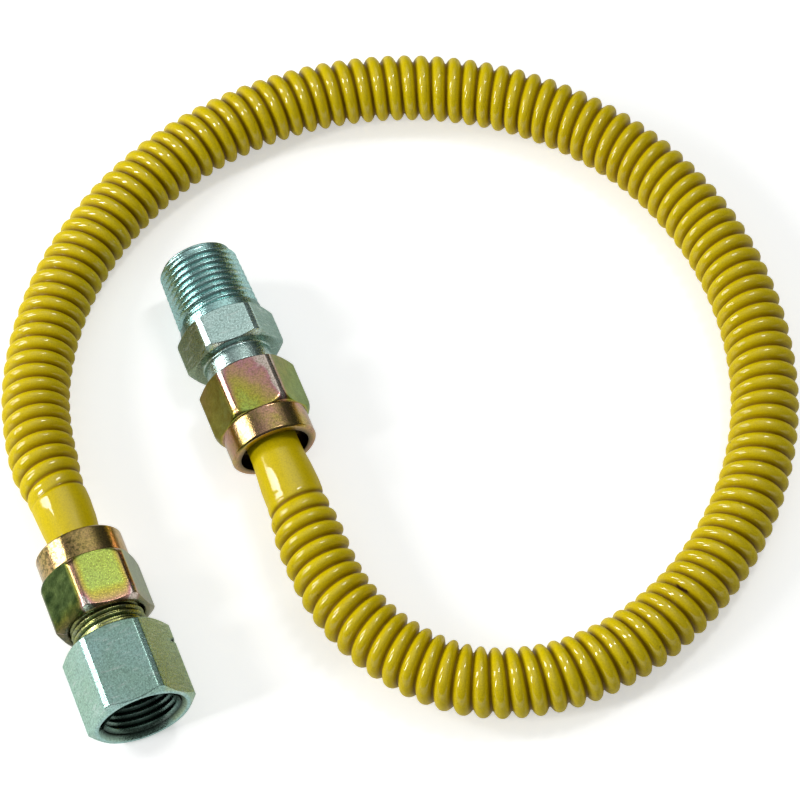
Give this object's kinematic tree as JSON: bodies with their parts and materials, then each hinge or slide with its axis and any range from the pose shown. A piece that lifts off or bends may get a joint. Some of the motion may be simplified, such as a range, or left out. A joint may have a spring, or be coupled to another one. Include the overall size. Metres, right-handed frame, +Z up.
{
  "type": "flexible gas hose",
  "caption": "Yellow-coated corrugated metal gas hose lying in an open loop, with flare nuts, a female pipe adapter at one end and a male pipe adapter at the other.",
  "frame": {"origin": "middle of the whole connector's footprint, on the surface it lies on", "axes": "+Z up; both fittings' axes lie along Y, the male end pointing to +Y and the female mouth to -Y; +X from the female end towards the far side of the loop"},
  "size_m": [0.2072, 0.198, 0.0259],
  "materials": {
    "yellow_coating": "glossy yellow coating over a formed metal tube",
    "yellow_zinc": "zinc plate with an iridescent yellow passivation, satin",
    "clear_zinc": "zinc plate with a clear bluish passivation, satin"
  },
  "bodies": {
    "hose": {"corrugated_hose": "yellow_coating"},
    "female_nut": {"female_end_nut": "yellow_zinc"},
    "female_adapter": {"female_pipe_adapter": "clear_zinc"},
    "male_nut": {"male_end_nut": "yellow_zinc"},
    "male_adapter": {"male_pipe_adapter": "clear_zinc"}
  },
  "joints": [
    {"name": "female_nut_turn", "type": "hinge", "parent": "hose", "child": "female_nut", "pos_m": [-0.08969, -0.03839, 0.01294], "axis": [0, 1, 0], "range_deg": [0, 1800]},
    {"name": "female_adapter_travel", "type": "slide", "parent": "hose", "child": "female_adapter", "axis": [0, -1, 0], "range_m": [0, 0.00794]},
    {"name": "male_nut_turn", "type": "hinge", "parent": "hose", "child": "male_nut", "pos_m": [-0.03459, 0.0138, 0.01179], "axis": [0, -1, 0], "range_deg": [0, 1800]},
    {"name": "male_adapter_travel", "type": "slide", "parent": "hose", "child": "male_adapter", "axis": [0, 1, 0], "range_m": [0, 0.00794]}
  ],
  "couplings": [
    {"joint": "female_nut_turn", "follows": "female_adapter_travel", "rad_per_m": 3957.9},
    {"joint": "male_nut_turn", "follows": "male_adapter_travel", "rad_per_m": 3957.9}
  ]
}
